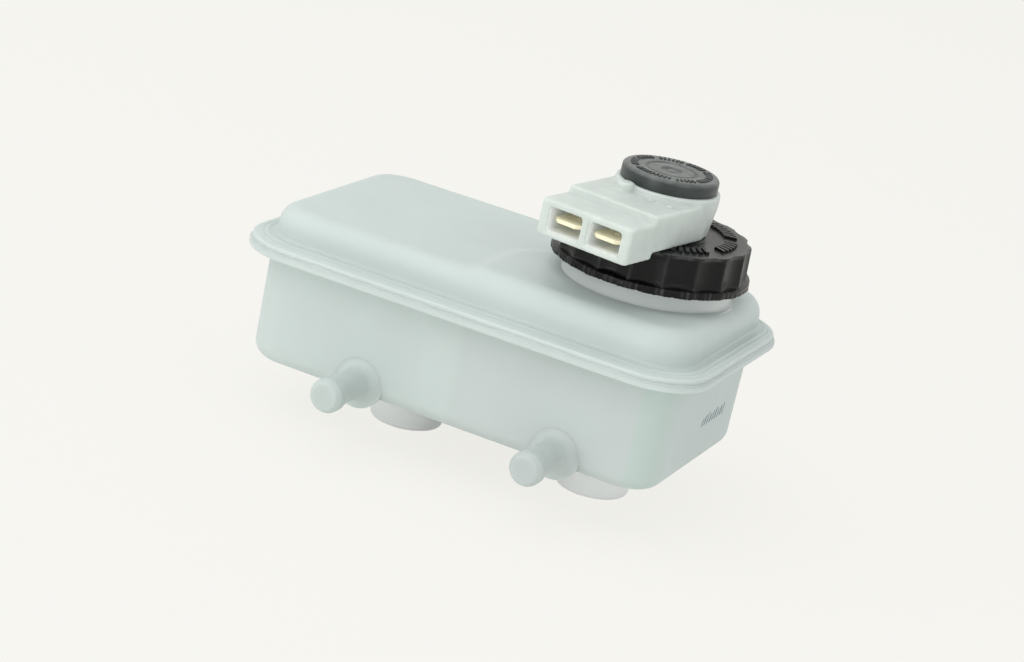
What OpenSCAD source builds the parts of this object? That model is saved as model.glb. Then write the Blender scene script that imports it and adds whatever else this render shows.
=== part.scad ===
// Brake fluid reservoir: a welded two-part tank that stands on its two outlet spigots,
// with a screw cap that clamps a float switch, its two-blade connector and its test button.
// The origin is the centre of the end face of the outlet under the cap. X runs along the
// tank towards the cap, -Y is the side of the hose nipples, Z is up. Millimetres.

/* [Tank] */
// Length of the tank over its walls
tank_l = 91.3; // [80:0.1:110]
// Width of the tank over its walls
tank_w = 51; // [46:0.1:60]
// Radius of the tank's upright corners
tank_corner_r = 8; // [6:0.1:12]
// Depth of the lower half, from its underside to the underside of the flange
lower_depth = 23.1; // [20:0.1:30]
// Rise of the upper half above the flange
upper_rise = 6.2; // [5.2:0.1:9]
// Thickness of the tank's walls
wall = 2; // [1.4:0.1:2.4]
// How far each wall leans in between the flange and the underside
draft = 0.2; // [0.1:0.1:1.2]
// Radius of the edge round the underside
bottom_edge_r = 2.2; // [2:0.1:5]
// Radius of the edge round the top
top_edge_r = 4.1; // [2.6:0.1:4.6]
// Radius of the upper half's upright corners
upper_corner_r = 8.8; // [6:0.1:12]
// How far the upper half's front wall stands behind the lower half's
upper_setback = 2.2; // [0:0.1:3]
// How far the upper half's back wall stands behind the lower half's
upper_back_reach = 3; // [0:0.1:3.2]
// How far the upper half's far end stands out beyond the lower half's
upper_far_reach = 1; // [0:0.1:2]
// Distance of the cap-side end wall from the outlet under the cap
end_reach = 20; // [18.8:0.1:24]
// Thickness of the partition between the two chambers
partition_t = 1.6; // [1.2:0.1:2.4]
// Gap between the partition's top and the flange
partition_drop = 3; // [1:0.1:8]

/* [Weld flange] */
// How far the flange stands out from the walls
flange_overhang = 4.8; // [4.6:0.1:7]
// Thickness of each half of the flange
flange_t = 1.3; // [1:0.05:2]
// How far the upper half of the flange stands back from the lower half
flange_step = 0.5; // [0.3:0.1:1.2]
// Chamfer on the outer edges of the flange
flange_chamfer = 0.4; // [0.1:0.05:0.5]
// Chamfer where the upper wall meets the flange
foot_chamfer = 0.4; // [0.2:0.1:0.8]

/* [Outlet spigots] */
// Outer diameter of the spigots
spigot_d = 15.3; // [14:0.1:18]
// Bore of the spigots
spigot_bore_d = 10.8; // [8:0.1:11.6]
// Length of the spigots below the tank
spigot_len = 10.7; // [8:0.1:14]
// Distance between the spigots
spigot_spacing = 43.1; // [40:0.1:50]
// Chamfer on the end of each spigot
spigot_chamfer = 0.9; // [0.4:0.1:1.4]

/* [Hose nipples] */
// Length of the nipples from the wall
nipple_len = 14.5; // [10:0.1:18]
// Diameter of the neck of the nipples
nipple_neck_d = 6; // [5:0.1:6.6]
// Diameter of the bulb of the nipples
nipple_bulb_d = 7; // [6.8:0.1:8]
// Length of the bulb
nipple_bulb_len = 5.4; // [4.6:0.1:7]
// Diameter of the closed end of the nipples
nipple_face_d = 5; // [4:0.1:5.6]
// Blind bore of the nipples
nipple_bore_d = 2.8; // [2:0.1:3.4]
// Thickness of the closed end of the nipples
nipple_end_t = 2.2; // [1.5:0.1:4]
// Height of the nipples' axis above the tank's underside
nipple_rise = 3.3; // [2:0.1:6]
// Distance between the nipples
nipple_spacing = 43.7; // [40:0.1:50]
// How far the nipple under the cap stands beside its spigot's axis
nipple_offset = 0.4; // [0:0.1:4]
// Diameter of the round boss at the root of each nipple
nipple_boss_d = 9; // [8:0.1:11]
// How far the boss stands out from the wall
nipple_boss_t = 0.8; // [0.5:0.1:2]

/* [Filler neck] */
// Outer diameter of the neck
neck_d = 34; // [32:0.1:36]
// Wall of the neck
neck_wall = 2.4; // [2:0.1:2.6]
// Height of the neck's rim above the raised part of the top
neck_rise = 7.4; // [6.6:0.1:12]
// How far the neck's axis lies behind the spigots' axes
neck_back = 4.3; // [2:0.1:5.4]
// Height of the raised part of the top round the neck
platform_rise = 0.8; // [0.4:0.1:1.5]
// Reach of the raised part from the neck's axis along the tank
platform_reach = 26.5; // [24:0.1:34]
// Reach of the raised part behind the neck's axis
platform_back = 3; // [1:0.1:6]
// Radius of the raised part's corner
platform_corner_r = 12; // [8:0.5:14]
// How far the foot of the neck flares out
neck_flare = 2; // [1.5:0.1:2.4]
// Width of the seat for the strainer's rim inside the neck
strainer_seat = 0.8; // [0.5:0.1:1.2]

/* [Strainer] */
// Thickness of the strainer's rim
strainer_rim_t = 0.8; // [0.6:0.1:1.4]
// Thickness of the strainer's wall
strainer_wall = 0.8; // [0.7:0.1:1.1]
// Height of the strainer's bottom above the tank's floor
strainer_clear = 2.6; // [2:0.1:5]
// Number of windows round the strainer
strainer_windows = 10; // [6:1:12]
// Number of rows of windows
strainer_rows = 3; // [2:1:4]
// Width of the posts and bands between the windows
strainer_rib = 1.8; // [1.2:0.1:2.6]
// Diameter of the holes in the strainer's bottom
strainer_hole_d = 3.4; // [2:0.1:4]
// Number of holes in the strainer's bottom
strainer_holes = 8; // [5:1:9]

/* [Screw cap] */
// How far the ring round the foot of the cap stands out from the grip
cap_ring_w = 1.1; // [0.8:0.1:2]
// Thickness of that ring
cap_ring_t = 1.45; // [1:0.05:2]
// Wall of the cap from its bore to the ridges of the grip
cap_wall = 1.75; // [1.3:0.05:2]
// Height of the cap from its foot to its flat top
cap_h = 8.1; // [8:0.1:11]
// Thickness of the cap's top plate
cap_plate_t = 1.5; // [1.2:0.05:2]
// Chamfer round the top of the grip
cap_chamfer = 0.8; // [0.4:0.1:1]
// Number of flutes round the grip
flutes = 18; // [16:1:20]
// Depth of the flutes
flute_depth = 0.75; // [0.4:0.05:0.8]
// Radius of the flutes
flute_r = 6.6; // [6:0.1:9]
// Height of the ridge left above the flutes
flute_top = 1.6; // [1.2:0.1:2.5]
// Turn of the first ridge from the X axis
flute_turn = 5; // [0:1:19]
// Height of the collar round the hole in the top
collar_h = 0.2; // [0.2:0.05:0.6]
// Width of that collar
collar_w = 1.2; // [0.8:0.1:1.3]

/* [Seal] */
// Thickness of the seal ring on the neck's rim
seal_t = 1.6; // [1:0.1:2.4]
// How far the seal ring reaches into the neck's bore
seal_reach = 0.4; // [0.2:0.1:0.6]

/* [Switch housing] */
// Turn of the connector from the -Y direction, clockwise seen from above
connector_turn = 8.7; // [0:0.1:45]
// Diameter of the drum at its foot
drum_foot_d = 19.4; // [18:0.1:20]
// Diameter of the drum at its shoulder
drum_d = 21.2; // [20.6:0.1:24]
// Height of the drum's tapered foot
drum_taper_h = 6.3; // [4:0.1:7]
// Height of the drum from its foot to its top
drum_h = 8.6; // [8.4:0.1:12]
// Diameter of the drum's hollow
drum_bore_d = 16.8; // [16:0.1:17]
// Thickness of the drum's floor
drum_floor_t = 1.8; // [1.4:0.1:2]
// Diameter of the hub that passes through the cap
hub_d = 16.6; // [16:0.1:16.8]
// Wall of the hub
hub_wall = 1.25; // [1:0.05:1.6]
// Width of the connector
connector_w = 20.5; // [20:0.1:23]
// Distance of the connector's face from the neck's axis
connector_reach = 30; // [29.2:0.1:34]
// Length of the connector's lower-lying shroud
shroud_len = 10; // [8:0.1:10.2]
// Height of the shroud
shroud_h = 7.4; // [6.8:0.1:8]
// How far the shroud's underside hangs below the arm's
shroud_drop = 1.3; // [0.4:0.05:1.4]
// How far the arm's top rises above the shroud's
arm_step = 1.3; // [0.4:0.1:1.4]
// Radius of the connector's upright corners
connector_edge_r = 0.8; // [0.4:0.1:1.2]
// Width of each socket
socket_w = 7.4; // [7:0.1:7.8]
// Height of each socket
socket_h = 4.8; // [4.4:0.1:5]
// Depth of each socket
socket_depth = 9; // [7:0.1:9.4]
// Distance between the sockets
socket_pitch = 8.9; // [8.6:0.1:9.6]
// Diameter of the small lug on the arm beside the rubber cover
lug_d = 3.4; // [2.6:0.1:4.4]
// Height of that lug above the arm
lug_h = 1.8; // [1:0.1:2.4]
// Turn of the lug from the connector's direction, round the neck's axis
lug_turn = 16; // [8:1:30]

/* [Switch base] */
// Thickness of the clamping disc
disc_t = 1.2; // [1:0.1:1.8]
// Outer diameter of the float's guide tube
guide_d = 7.2; // [6:0.1:8]
// Length of that skirt
skirt_len = 2.6; // [2:0.1:4]
// Wall of that skirt
skirt_wall = 1; // [0.8:0.1:1.4]

/* [Terminals] */
// Width of the blades
blade_w = 6.3; // [6.3:0.1:6.3]
// Thickness of the blades
blade_t = 0.8; // [0.8:0.1:0.8]
// How far the blades stand back from the connector's face
blade_back = 1; // [0.5:0.1:3]
// Length of the bevels on the blades' tips
blade_bevel = 1.2; // [0.8:0.1:1.6]
// Diameter of the locking hole in each blade
blade_hole_d = 1.5; // [1.2:0.1:1.8]
// Distance of the locking hole from the tip
blade_hole_back = 4.2; // [3.5:0.1:5]
// Width of the blades' inner tails
tail_w = 3; // [2.4:0.1:3.4]
// Diameter of the contact rivets
rivet_d = 2.4; // [2:0.1:2.4]
// Height of the contact rivets above the tails
rivet_h = 0.4; // [0.3:0.05:0.6]

/* [Float] */
// Diameter of the float
float_d = 23; // [20:0.1:24]
// Height of the float
float_h = 11; // [9:0.1:12]
// Height of the rod's end above the tank's floor
rod_clear = 5.6; // [5:0.1:8]
// Diameter of the rod
rod_d = 3; // [2.6:0.1:3.2]
// Diameter of the rod's thin end in the contact bridge
rod_tip_d = 2; // [1.6:0.1:2.2]
// How far the float rises from its lowest place
float_travel = 2.7; // [2:0.1:2.9]
// Diameter of the contact bridge
bridge_d = 11.4; // [10.8:0.1:12]
// Thickness of the contact bridge
bridge_t = 0.5; // [0.4:0.05:0.6]
// Thickness of the clips on the rod
clip_t = 0.7; // [0.5:0.05:0.9]
// Width of the clips round the rod
clip_w = 1.7; // [1.2:0.1:2]

/* [Test button] */
// Diameter of the rubber cover
cover_d = 19.6; // [19.2:0.1:20.6]
// Height of the rubber cover above the drum
cover_h = 2.9; // [2.6:0.05:4]
// Radius of the rubber cover's upper edge
cover_edge_r = 0.9; // [0.5:0.05:1]
// Thickness of the rubber
cover_wall = 1; // [0.8:0.05:1.1]
// Thickness of the lid inside the drum
lid_t = 0.8; // [0.6:0.05:1]
// Diameter of the test plunger's stem
plunger_d = 5.8; // [4:0.1:6.4]
// Diameter of the test plunger's head
plunger_head_d = 10; // [8:0.1:12]
// Thickness of that head
plunger_head_t = 0.6; // [0.5:0.05:0.7]
// Stroke of the test plunger
plunger_stroke = 0.95; // [0.6:0.05:0.95]

/* [Hidden] */
$fn = 64;

// Clearances
run_gap = 0.08;    // a sliding shaft in its bore, on the radius
seat_gap = 0.05;   // pieces that are fixed together or rest on each other
weld_gap = 0.02;   // between the two halves of the weld flange
free_gap = 0.3;    // pieces that pass each other
thread_gap = 0.3;  // between the neck and the cap's bore, where the threads run
cut = 1;           // overrun of every cut
slab = 0.1;        // thickness of the end slices of a hull
hull_fn = 32;

// Heights, from the spigots' ends upwards
tank_z = spigot_len;
floor_z = tank_z + wall;
flange_z = tank_z + lower_depth;
weld_z = flange_z + flange_t;
seam_z = weld_z + weld_gap;
upper_flange_z = seam_z + flange_t;
top_z = upper_flange_z + upper_rise;
platform_z = top_z + platform_rise;
rim_z = platform_z + neck_rise;
disc_z = rim_z + seal_t;
disc_top_z = disc_z + disc_t;
plate_z = disc_top_z + seat_gap;
cap_top_z = plate_z + cap_plate_t;
cap_z = cap_top_z - cap_h;
arm_z = cap_top_z + collar_h + free_gap;
shroud_z = arm_z - shroud_drop;
shroud_top_z = shroud_z + shroud_h;
arm_top_z = shroud_top_z + arm_step;
drum_z = arm_z;
drum_top_z = drum_z + drum_h;
blade_z = drum_z + drum_floor_t + seat_gap;
rivet_z = blade_z + blade_t;
bridge_z = rivet_z + rivet_h + seat_gap;
bridge_clip_z = bridge_z + bridge_t + seat_gap;
rod_top_z = bridge_clip_z + clip_t / 2 + seat_gap;
rod_z = floor_z + rod_clear;
clip_lower_z = rod_z + clip_t;
float_z = clip_lower_z + clip_t + seat_gap;
clip_upper_z = float_z + float_h + seat_gap;
guide_z = clip_upper_z + clip_t + float_travel + seat_gap;
lid_z = drum_top_z - lid_t;
cover_top_z = drum_top_z + cover_h;
plunger_head_z = cover_top_z - cover_wall - seat_gap - plunger_head_t;
plunger_z = rod_top_z + float_travel + plunger_stroke + seat_gap;

// Places along and across the tank
tank_x = end_reach - tank_l / 2;
far_x = -spigot_spacing;
partition_x = far_x / 2;
cap_y = neck_back;
upper_l = tank_l + upper_far_reach;
upper_w = tank_w - upper_setback + upper_back_reach;
upper_x = end_reach - upper_l / 2;
upper_y = (upper_setback + upper_back_reach) / 2;
neck_bore_d = neck_d - 2 * neck_wall;
neck_foot_d = neck_d + 2 * neck_flare;
flange_l = tank_l + 2 * flange_overhang;
flange_w = tank_w + 2 * flange_overhang;
flange_r = tank_corner_r + flange_overhang;
strainer_d = neck_bore_d - 2 * free_gap;
strainer_bore_d = strainer_d - 2 * strainer_wall;
seat_d = neck_bore_d + 2 * strainer_seat;
seat_z = rim_z - strainer_rim_t - seat_gap;
strainer_z = floor_z + strainer_clear;
hub_bore_d = hub_d - 2 * hub_wall;
skirt_d = strainer_bore_d - 4 * free_gap;
disc_d = neck_d - 2 * free_gap;
seal_bore_d = neck_bore_d - 2 * seal_reach;
cap_bore_d = neck_d + 2 * thread_gap;
grip_d = cap_bore_d + 2 * cap_wall;
cap_ring_d = grip_d + 2 * cap_ring_w;
collar_bore_d = hub_d + 2 * free_gap;
shroud_back = connector_reach - shroud_len;
slot_w = blade_w + 2 * seat_gap;
lug_reach = (cover_d + lug_d) / 2 + free_gap;

module at_cap_axis() {
    translate([0, cap_y, 0]) children();
}

// The connector's own directions: its X runs across it and its -Y points out of its sockets.
module at_connector() {
    at_cap_axis() rotate([0, 0, -connector_turn]) children();
}

// Four like upright corners, one child at each.
module at_corners(l, w, r) {
    for (sx = [-1, 1], sy = [-1, 1])
        translate([tank_x + sx * (l / 2 - r), sy * (w / 2 - r), 0]) children();
}

// The same for the upper half, which is shifted towards the back.
module at_upper_corners(l, w, r) {
    translate([upper_x - tank_x, upper_y, 0]) at_corners(l, w, r) children();
}

// A slab whose upper and lower edges are both chamfered.
module flange_slab(l, w, r, z, h, c) {
    hull() {
        at_corners(l, w, r) translate([0, 0, z + c]) cylinder(r = r, h = h - 2 * c, $fn = hull_fn);
        at_corners(l, w, r) translate([0, 0, z]) cylinder(r = r - c, h = h, $fn = hull_fn);
    }
}

// A ring rounded by edge_r on its outside, above or below: the corner of a body with a rounded edge.
module edge_ring(r, edge_r, below = false) {
    rotate_extrude($fn = hull_fn) translate([r - edge_r, 0]) intersection() {
        circle(r = edge_r, $fn = hull_fn);
        translate([0, below ? -edge_r : 0]) square(edge_r);
    }
}

// The lower half's form: upright corners, leaning walls and a rounded edge below.
module lower_form(inset, z, top, edge_r) {
    l = tank_l - 2 * inset;
    w = tank_w - 2 * inset;
    r = tank_corner_r - inset;
    hull() {
        at_corners(l, w, r) translate([0, 0, top - slab]) cylinder(r = r, h = slab, $fn = hull_fn);
        at_corners(l - 2 * draft, w - 2 * draft, r) translate([0, 0, z + edge_r]) edge_ring(r, edge_r, true);
    }
}

// The upper half's form: upright corners and a rounded edge above.
module upper_form(inset, z, top, edge_r) {
    l = upper_l - 2 * inset;
    w = upper_w - 2 * inset;
    r = upper_corner_r - inset;
    hull() {
        at_upper_corners(l, w, r) translate([0, 0, z]) cylinder(r = r, h = slab, $fn = hull_fn);
        at_upper_corners(l, w, r) translate([0, 0, top - edge_r]) edge_ring(r, edge_r);
    }
}

// A closed hose nipple along -Y from the wall, round its own axis.
module nipple_outside() {
    neck_r = nipple_neck_d / 2;
    bulb_r = nipple_bulb_d / 2;
    face_r = nipple_face_d / 2;
    bulb_z = nipple_len - nipple_bulb_len;
    nose_r = bulb_r - face_r;
    rotate_extrude() union() {
        translate([0, -wall]) square([neck_r, nipple_len + wall - nose_r]);
        polygon([
            [0, bulb_z], [neck_r, bulb_z], [bulb_r, bulb_z + nipple_bulb_len / 2],
            [bulb_r, nipple_len - nose_r], [0, nipple_len - nose_r]
        ]);
        translate([face_r, nipple_len - nose_r]) circle(r = nose_r);
        translate([0, nipple_len - nose_r]) square([face_r, nose_r]);
        translate([0, -wall]) square([nipple_boss_d / 2, wall + nipple_boss_t]);
    }
}

module nipple_bore() {
    translate([0, 0, -wall - cut]) cylinder(d = nipple_bore_d, h = nipple_len - nipple_end_t + wall + cut);
}

module at_nipples() {
    for (x = [0, -nipple_spacing])
        translate([x - nipple_offset, draft - tank_w / 2, tank_z + nipple_rise])
            rotate([90, 0, 0]) children();
}

module at_spigots() {
    for (x = [0, far_x]) translate([x, 0, 0]) children();
}

module spigot_outside() {
    r = spigot_d / 2;
    rotate_extrude()
        polygon([[0, 0], [r - spigot_chamfer, 0], [r, spigot_chamfer], [r, floor_z], [0, floor_z]]);
}

module lower_tank() {
    color([0.80, 0.86, 0.83, 0.85]) difference() {
        union() {
            lower_form(0, tank_z, weld_z, bottom_edge_r);
            flange_slab(flange_l, flange_w, flange_r, flange_z, flange_t, flange_chamfer);
            at_spigots() spigot_outside();
            at_nipples() nipple_outside();
        }
        difference() {
            lower_form(wall, floor_z, weld_z + cut, bottom_edge_r - wall / 2);
            translate([partition_x - partition_t / 2, -tank_w / 2, tank_z])
                cube([partition_t, tank_w, lower_depth - partition_drop]);
        }
        at_spigots() translate([0, 0, -cut]) cylinder(d = spigot_bore_d, h = floor_z + 2 * cut);
        at_nipples() nipple_bore();
    }
}

// The raised part of the top, from the front wall to a little behind the neck.
module platform_form(inset, z, top, edge_r) {
    front_y = upper_y - upper_w / 2;
    w = cap_y + platform_back - front_y - 2 * inset;
    l = end_reach + platform_reach - 2 * inset;
    r = platform_corner_r - inset;
    front_r = upper_corner_r - inset;
    translate([-platform_reach + inset, front_y + inset, 0]) hull() {
        for (x = [front_r, l - front_r]) translate([x, front_r, z]) cylinder(r = front_r, h = slab, $fn = hull_fn);
        for (x = [front_r, l - front_r]) translate([x, front_r, top - edge_r]) edge_ring(front_r, edge_r);
        translate([r, w - r, z]) cylinder(r = r, h = top - z, $fn = hull_fn);
        translate([l - front_r, w - front_r, z]) cylinder(r = front_r, h = slab, $fn = hull_fn);
        translate([l - front_r, w - front_r, top - edge_r]) edge_ring(front_r, edge_r);
    }
}

module upper_tank() {
    foot_r = upper_corner_r + foot_chamfer;
    color([0.84, 0.89, 0.87, 0.85]) difference() {
        union() {
            upper_form(0, seam_z, top_z, top_edge_r);
            platform_form(0, seam_z, platform_z, top_edge_r);
            flange_slab(
                flange_l - 2 * flange_step, flange_w - 2 * flange_step, flange_r - flange_step,
                seam_z, flange_t, flange_chamfer
            );
            hull() {
                at_upper_corners(upper_l + 2 * foot_chamfer, upper_w + 2 * foot_chamfer, foot_r)
                    translate([0, 0, upper_flange_z - slab]) cylinder(r = foot_r, h = slab, $fn = hull_fn);
                at_upper_corners(upper_l, upper_w, upper_corner_r) translate([0, 0, upper_flange_z])
                    cylinder(r = upper_corner_r, h = foot_chamfer, $fn = hull_fn);
            }
            at_cap_axis() translate([0, 0, top_z]) {
                cylinder(d = neck_d, h = rim_z - top_z);
                cylinder(d1 = neck_foot_d, d2 = neck_d, h = platform_rise + (neck_foot_d - neck_d) / 2);
            }
        }
        upper_form(wall, seam_z - cut, top_z - wall, top_edge_r - wall);
        platform_form(wall, seam_z - cut, platform_z - wall, top_edge_r - wall);
        at_cap_axis() {
            translate([0, 0, seam_z]) cylinder(d = neck_bore_d, h = rim_z - seam_z + cut);
            translate([0, 0, seat_z]) cylinder(d = seat_d, h = rim_z - seat_z + cut);
        }
    }
}

module filler_strainer() {
    basket_h = seat_z - strainer_z;
    row_h = (basket_h - strainer_rib) / strainer_rows;
    hole_ring_r = strainer_bore_d / 2 - strainer_hole_d;
    window_w = PI * strainer_d / strainer_windows - strainer_rib;
    color([0.93, 0.94, 0.92]) at_cap_axis() difference() {
        union() {
            translate([0, 0, strainer_z]) cylinder(d = strainer_d, h = basket_h + strainer_rim_t);
            translate([0, 0, seat_z]) cylinder(d = seat_d - 2 * seat_gap, h = strainer_rim_t);
        }
        translate([0, 0, strainer_z + strainer_wall]) cylinder(d = strainer_bore_d, h = rim_z);
        for (row = [0 : strainer_rows - 1], k = [0 : strainer_windows - 1])
            rotate([0, 0, (k + 1 / 2) * 360 / strainer_windows])
                translate([0, -window_w / 2, strainer_z + strainer_rib + row * row_h])
                    cube([strainer_d, window_w, row_h - strainer_rib]);
        for (k = [0 : strainer_holes - 1])
            rotate([0, 0, k * 360 / strainer_holes])
                translate([hole_ring_r, 0, strainer_z - cut]) cylinder(d = strainer_hole_d, h = strainer_wall + 2 * cut);
    }
}

// One flute of the grip, with a rounded upper end.
module flute() {
    flute_z = cap_z + cap_ring_t;
    sphere_z = cap_top_z - flute_top - sqrt(pow(flute_r, 2) - pow(flute_r - flute_depth, 2));
    translate([grip_d / 2 + flute_r - flute_depth, 0, 0]) {
        translate([0, 0, flute_z]) cylinder(r = flute_r, h = sphere_z - flute_z);
        translate([0, 0, sphere_z]) intersection() {
            sphere(r = flute_r);
            cylinder(r = flute_r, h = flute_r);
        }
    }
}

module screw_cap() {
    r = grip_d / 2;
    ring_r = cap_ring_d / 2;
    bore_r = cap_bore_d / 2;
    hole_r = collar_bore_d / 2;
    color([0.13, 0.13, 0.14]) at_cap_axis() difference() {
        rotate_extrude() polygon([
            [bore_r, cap_z], [ring_r, cap_z], [ring_r, cap_z + cap_ring_t], [r, cap_z + cap_ring_t],
            [r, cap_top_z - cap_chamfer], [r - cap_chamfer, cap_top_z],
            [hole_r + collar_w, cap_top_z], [hole_r + collar_w, cap_top_z + collar_h],
            [hole_r, cap_top_z + collar_h], [hole_r, plate_z], [bore_r, plate_z]
        ]);
        for (k = [0 : flutes - 1]) rotate([0, 0, flute_turn + (k + 1 / 2) * 360 / flutes]) flute();
    }
}

module cap_seal() {
    color([0.16, 0.16, 0.16]) at_cap_axis() translate([0, 0, rim_z]) difference() {
        cylinder(d = neck_d - 2 * seat_gap, h = seal_t);
        translate([0, 0, -cut]) cylinder(d = seal_bore_d, h = seal_t + 2 * cut);
    }
}

module switch_base() {
    color([0.90, 0.92, 0.90]) at_cap_axis() difference() {
        union() {
            translate([0, 0, disc_z]) cylinder(d = disc_d, h = disc_t);
            translate([0, 0, disc_z]) cylinder(d = hub_bore_d - 2 * seat_gap, h = drum_z - disc_z);
            translate([0, 0, guide_z]) cylinder(d = guide_d, h = disc_z - guide_z + seat_gap);
            translate([0, 0, disc_z - skirt_len]) difference() {
                cylinder(d = skirt_d, h = skirt_len + seat_gap);
                translate([0, 0, -cut]) cylinder(d = skirt_d - 2 * skirt_wall, h = skirt_len + cut);
            }
        }
        translate([0, 0, guide_z - cut]) cylinder(d = rod_d + 2 * run_gap, h = drum_z - guide_z + 2 * cut);
    }
}

// The drum with its tapered foot, on the hub that reaches through the cap.
module drum_outside() {
    rotate_extrude() polygon([
        [0, plate_z], [hub_d / 2, plate_z], [hub_d / 2, drum_z], [drum_foot_d / 2, drum_z],
        [drum_d / 2, drum_z + drum_taper_h], [drum_d / 2, drum_top_z], [0, drum_top_z]
    ]);
}

// A block across the connector, with rounded upright corners at its front.
module connector_block(front, back, z, h) {
    r = connector_edge_r;
    translate([0, 0, z]) {
        translate([-connector_w / 2, -front + r, 0]) cube([connector_w, front - back - r, h]);
        translate([-connector_w / 2 + r, -front, 0]) cube([connector_w - 2 * r, r + slab, h]);
        for (sx = [-1, 1]) translate([sx * (connector_w / 2 - r), -front + r, 0]) cylinder(r = r, h = h, $fn = hull_fn);
    }
}

module at_sockets() {
    for (sx = [-1, 1]) translate([sx * socket_pitch / 2, 0, 0]) children();
}

module switch_housing() {
    blade_mid_z = blade_z + blade_t / 2;
    color([0.93, 0.95, 0.94]) difference() {
        union() {
            at_cap_axis() drum_outside();
            at_connector() {
                connector_block(connector_reach, shroud_back, shroud_z, shroud_h);
                connector_block(shroud_back + connector_edge_r, 0, arm_z, arm_top_z - arm_z);
                rotate([0, 0, -lug_turn]) translate([0, -lug_reach, arm_z])
                    cylinder(d = lug_d, h = arm_top_z + lug_h - arm_z);
            }
        }
        at_cap_axis() {
            translate([0, 0, drum_z + drum_floor_t]) cylinder(d = drum_bore_d, h = drum_h);
            translate([0, 0, plate_z - cut]) cylinder(d = hub_bore_d, h = drum_z - plate_z + cut);
            translate([0, 0, plate_z]) cylinder(d = rod_d + 2 * free_gap, h = drum_h);
            translate([0, 0, lid_z]) cylinder(d = drum_bore_d + 2 * free_gap, h = drum_h);
        }
        at_connector() at_sockets() {
            translate([-socket_w / 2, -connector_reach - cut, blade_mid_z - socket_h / 2])
                cube([socket_w, socket_depth + cut, socket_h]);
            translate([-slot_w / 2, -connector_reach, blade_z - seat_gap])
                cube([slot_w, connector_reach - drum_bore_d / 4, blade_t + 2 * seat_gap]);
        }
    }
}

// A flat blade with a bevelled tip, a locking hole and a narrow tail that ends by the rod.
module terminal() {
    tip_y = -connector_reach + blade_back;
    shoulder_y = -connector_reach + socket_depth + socket_w / 2;
    translate([0, 0, blade_z]) linear_extrude(blade_t) difference() {
        polygon([
            [-blade_w / 2, tip_y + blade_bevel], [-blade_w / 2 + blade_bevel, tip_y],
            [blade_w / 2 - blade_bevel, tip_y], [blade_w / 2, tip_y + blade_bevel],
            [blade_w / 2, shoulder_y], [tail_w / 2, shoulder_y], [tail_w / 2, tail_w / 2],
            [-tail_w / 2, tail_w / 2], [-tail_w / 2, shoulder_y], [-blade_w / 2, shoulder_y]
        ]);
        translate([0, tip_y + blade_hole_back]) circle(d = blade_hole_d);
    }
}

module terminal_left() {
    color([0.82, 0.73, 0.48]) at_connector() translate([-socket_pitch / 2, 0, 0]) terminal();
}

module terminal_right() {
    color([0.82, 0.73, 0.48]) at_connector() translate([socket_pitch / 2, 0, 0]) terminal();
}

module rivet() {
    translate([0, 0, rivet_z]) cylinder(d = rivet_d, h = rivet_h);
}

module rivet_left() {
    color([0.80, 0.80, 0.78]) at_connector() translate([-socket_pitch / 2, 0, 0]) rivet();
}

module rivet_right() {
    color([0.80, 0.80, 0.78]) at_connector() translate([socket_pitch / 2, 0, 0]) rivet();
}

module drum_lid() {
    color([0.90, 0.92, 0.90]) at_cap_axis() translate([0, 0, lid_z]) difference() {
        cylinder(d = drum_bore_d + 2 * free_gap - 2 * seat_gap, h = lid_t - seat_gap);
        translate([0, 0, -cut]) cylinder(d = plunger_d + 2 * run_gap, h = lid_t + 2 * cut);
    }
}

module rubber_cover() {
    r = cover_d / 2;
    e = cover_edge_r;
    color([0.40, 0.42, 0.42]) at_cap_axis() translate([0, 0, drum_top_z]) difference() {
        rotate_extrude() {
            square([r, cover_h - e]);
            translate([0, cover_h - e]) square([r - e, e]);
            translate([r - e, cover_h - e]) circle(r = e);
        }
        translate([0, 0, -cut]) cylinder(d = cover_d - 4 * cover_wall, h = cover_h - cover_wall + cut);
    }
}

module test_plunger() {
    color([0.90, 0.92, 0.90]) at_cap_axis() {
        translate([0, 0, plunger_z]) cylinder(d = plunger_d, h = plunger_head_z - plunger_z);
        translate([0, 0, plunger_head_z]) cylinder(d = plunger_head_d, h = plunger_head_t);
    }
}

module ring(outer_d, inner_d, z, h) {
    translate([0, 0, z]) difference() {
        cylinder(d = outer_d, h = h);
        translate([0, 0, -cut]) cylinder(d = inner_d, h = h + 2 * cut);
    }
}

module contact_bridge() {
    color([0.80, 0.70, 0.45]) at_cap_axis() ring(bridge_d, rod_tip_d + 2 * seat_gap, bridge_z, bridge_t);
}

module bridge_clip() {
    color([0.62, 0.63, 0.64]) at_cap_axis()
        ring(rod_tip_d + 2 * clip_w, rod_tip_d + 2 * seat_gap, bridge_clip_z, clip_t / 2);
}

module float_rod() {
    color([0.75, 0.76, 0.77]) at_cap_axis() {
        translate([0, 0, rod_z]) cylinder(d = rod_d, h = bridge_z - rod_z);
        translate([0, 0, rod_z]) cylinder(d = rod_tip_d, h = rod_top_z - rod_z);
    }
}

module float_clip_upper() {
    color([0.62, 0.63, 0.64]) at_cap_axis() ring(rod_d + 2 * clip_w, rod_d + 2 * seat_gap, clip_upper_z, clip_t);
}

module float_clip_lower() {
    color([0.62, 0.63, 0.64]) at_cap_axis() ring(rod_d + 2 * clip_w, rod_d + 2 * seat_gap, clip_lower_z, clip_t);
}

module float() {
    color([0.86, 0.80, 0.55]) at_cap_axis() ring(float_d, rod_d + 2 * seat_gap, float_z, float_h);
}

lower_tank();
upper_tank();
filler_strainer();
screw_cap();
cap_seal();
switch_base();
switch_housing();
terminal_left();
terminal_right();
rivet_left();
rivet_right();
drum_lid();
rubber_cover();
test_plunger();
contact_bridge();
bridge_clip();
float_rod();
float_clip_upper();
float();
float_clip_lower();
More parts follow.
